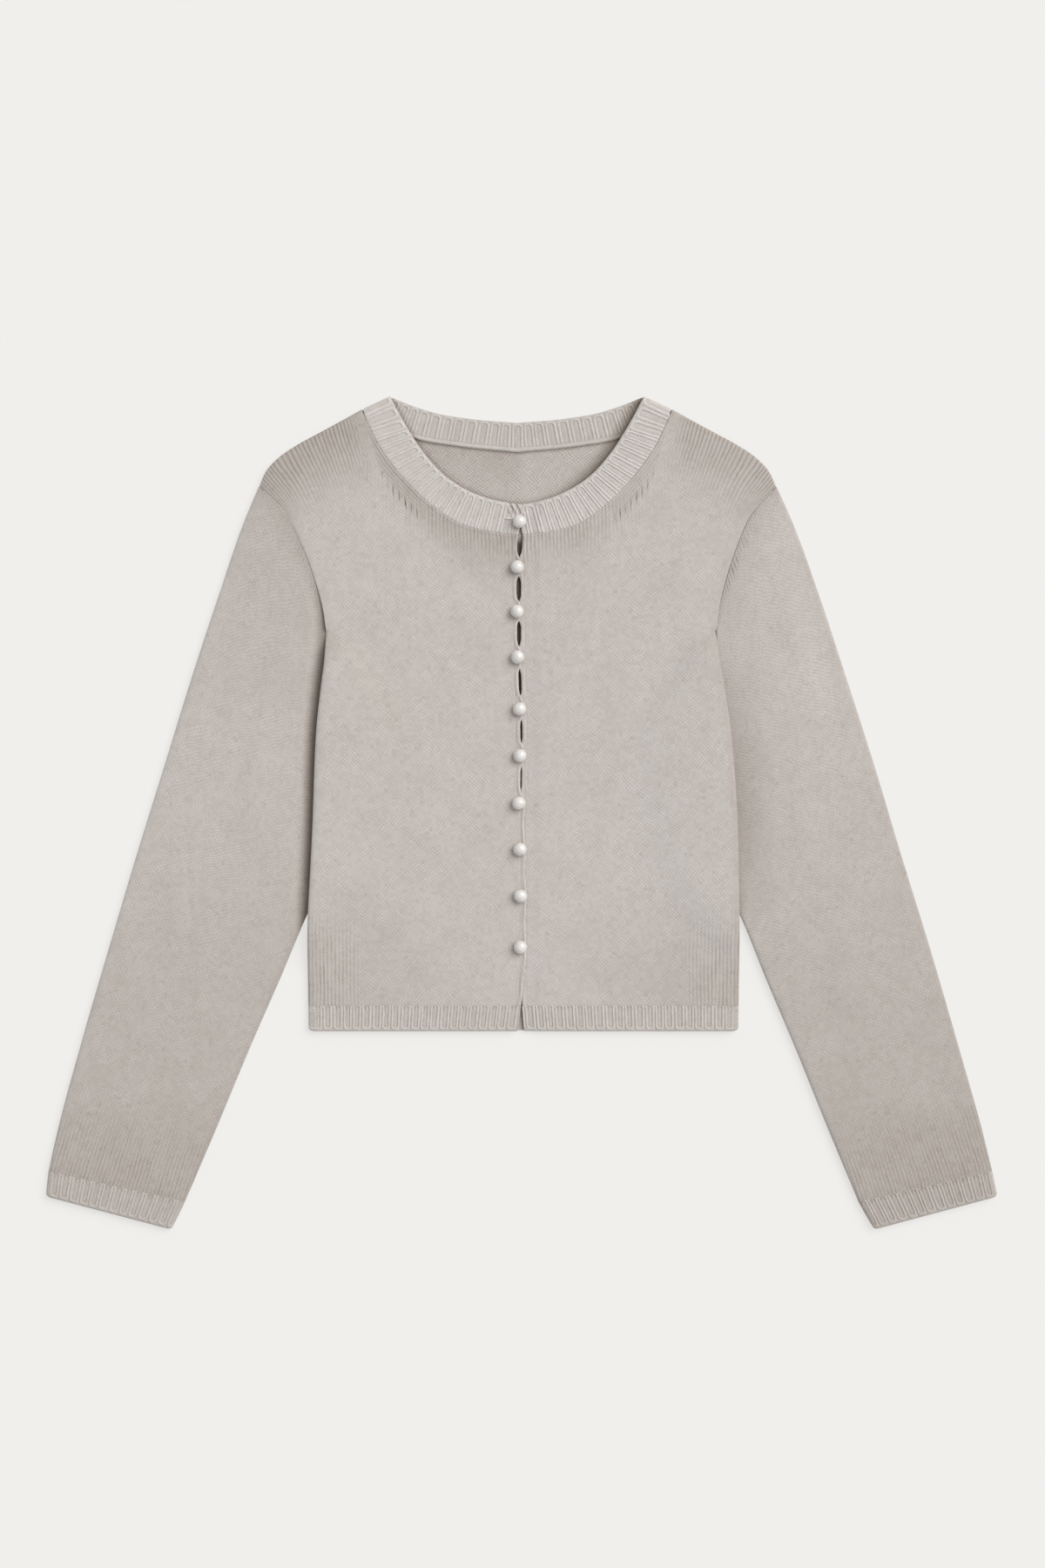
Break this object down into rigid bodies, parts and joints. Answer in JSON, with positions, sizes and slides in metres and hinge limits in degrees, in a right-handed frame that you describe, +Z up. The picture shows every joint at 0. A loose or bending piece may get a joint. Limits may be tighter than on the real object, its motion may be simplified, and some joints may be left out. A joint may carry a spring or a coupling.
{
  "type": "button cardigan",
  "caption": "Long-sleeved knitted cardigan, buttoned to a round ribbed neckband with pearl shank buttons and laid flat, with ribbed hem and cuffs.",
  "frame": {"origin": "middle of the outline as the cardigan lies flat, on the surface it rests on", "axes": "+X across the chest to the wearer's left, +Y up the body to the neck, +Z up from the surface, out of the front"},
  "size_m": [0.8086, 0.707, 0.0161],
  "materials": {
    "knit": "fine plain-knit wool, warm light grey, matt with a slight nap",
    "rib": "ribbed wool, the same warm light grey, matt",
    "pearl": "glossy pearl with a soft white lustre"
  },
  "bodies": {
    "root": {"back": "knit", "front_right": "knit", "front_left": "knit", "sleeve_right": "knit", "sleeve_left": "knit", "neckband": "rib", "hem_back": "rib", "hem_right": "rib", "hem_left": "rib", "cuff_right": "rib", "cuff_left": "rib", "button_01": "pearl", "button_02": "pearl", "button_03": "pearl", "button_04": "pearl", "button_05": "pearl", "button_06": "pearl", "button_07": "pearl", "button_08": "pearl", "button_09": "pearl", "button_10": "pearl"}
  },
  "joints": []
}
